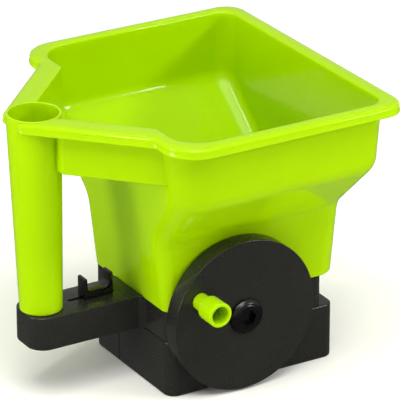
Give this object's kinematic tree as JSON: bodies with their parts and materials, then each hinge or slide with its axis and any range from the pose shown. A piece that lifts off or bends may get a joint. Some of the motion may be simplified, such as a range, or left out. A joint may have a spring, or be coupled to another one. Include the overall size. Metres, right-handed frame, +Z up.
{
  "type": "garden spreader",
  "caption": "Hand-held garden spreader: open hopper with a tubular handle on a base, a side crank that drives a spinner through gears, and a sliding flow gate.",
  "frame": {"origin": "centre of the base's flat underside, on the surface that the spreader stands on", "axes": "+X the throwing direction, away from the handle; +Y left, away from the crank; +Z up"},
  "size_m": [0.2362, 0.22, 0.203],
  "materials": {
    "green_plastic": "smooth moulded polypropylene, glossy",
    "black_plastic": "smooth moulded plastic, satin",
    "gloss_black_plastic": "polished moulded plastic",
    "natural_plastic": "unfilled acetal, slightly waxy",
    "zinc_steel": "zinc plated steel",
    "black_steel": "black oxide steel, oiled",
    "brass": "turned brass"
  },
  "bodies": {
    "base": {"hopper": "green_plastic", "platform_arm": "black_plastic", "base_box": "black_plastic", "bottom_cover": "black_plastic", "gear_carrier": "black_plastic", "gate_guide": "black_plastic", "axle_insert": "brass", "axle_bolt": "black_steel", "lay_bush_outer": "brass", "lay_bush_inner": "brass", "spinner_bush_bottom": "brass", "spinner_bush_top": "brass", "hopper_screw_1": "zinc_steel", "hopper_screw_2": "zinc_steel", "hopper_screw_3": "zinc_steel", "hopper_screw_4": "zinc_steel", "cover_screw_1": "zinc_steel", "cover_screw_2": "zinc_steel", "cover_screw_3": "zinc_steel", "cover_screw_4": "zinc_steel", "guide_screw_1": "zinc_steel", "guide_screw_2": "zinc_steel", "carrier_screw_1": "zinc_steel", "carrier_screw_2": "zinc_steel", "handle_screw": "zinc_steel"},
    "crank": {"crank_drum": "black_plastic", "drum_bush": "natural_plastic", "knob_pin": "zinc_steel", "knob_clip": "zinc_steel"},
    "knob": {"crank_knob": "green_plastic"},
    "lay": {"lay_shaft": "zinc_steel", "drive_pinion": "natural_plastic", "lay_bevel": "natural_plastic"},
    "rotor": {"spinner_shaft": "zinc_steel", "spinner": "green_plastic", "spinner_bevel": "natural_plastic"},
    "gate": {"gate_slide": "black_plastic", "flow_slider": "gloss_black_plastic"}
  },
  "joints": [
    {"name": "crank_turn", "type": "hinge", "parent": "base", "child": "crank", "pos_m": [-0.01475, 0, 0.0551], "axis": [0, -1, 0], "continuous": true},
    {"name": "knob_spin", "type": "hinge", "parent": "crank", "child": "knob", "pos_m": [-0.04975, 0, 0.0741], "axis": [0, -1, 0], "continuous": true},
    {"name": "lay_turn", "type": "hinge", "parent": "base", "child": "lay", "pos_m": [0.00325, 0, 0.02392], "axis": [0, -1, 0], "continuous": true},
    {"name": "spinner_turn", "type": "hinge", "parent": "base", "child": "rotor", "pos_m": [0.00325, 0, 0], "axis": [0, 0, 1], "continuous": true},
    {"name": "flow_slide", "type": "slide", "parent": "base", "child": "gate", "axis": [-1, 0, 0], "range_m": [0, 0.009]}
  ],
  "couplings": [
    {"joint": "lay_turn", "follows": "crank_turn", "ratio": 5},
    {"joint": "spinner_turn", "follows": "crank_turn", "ratio": 5}
  ]
}
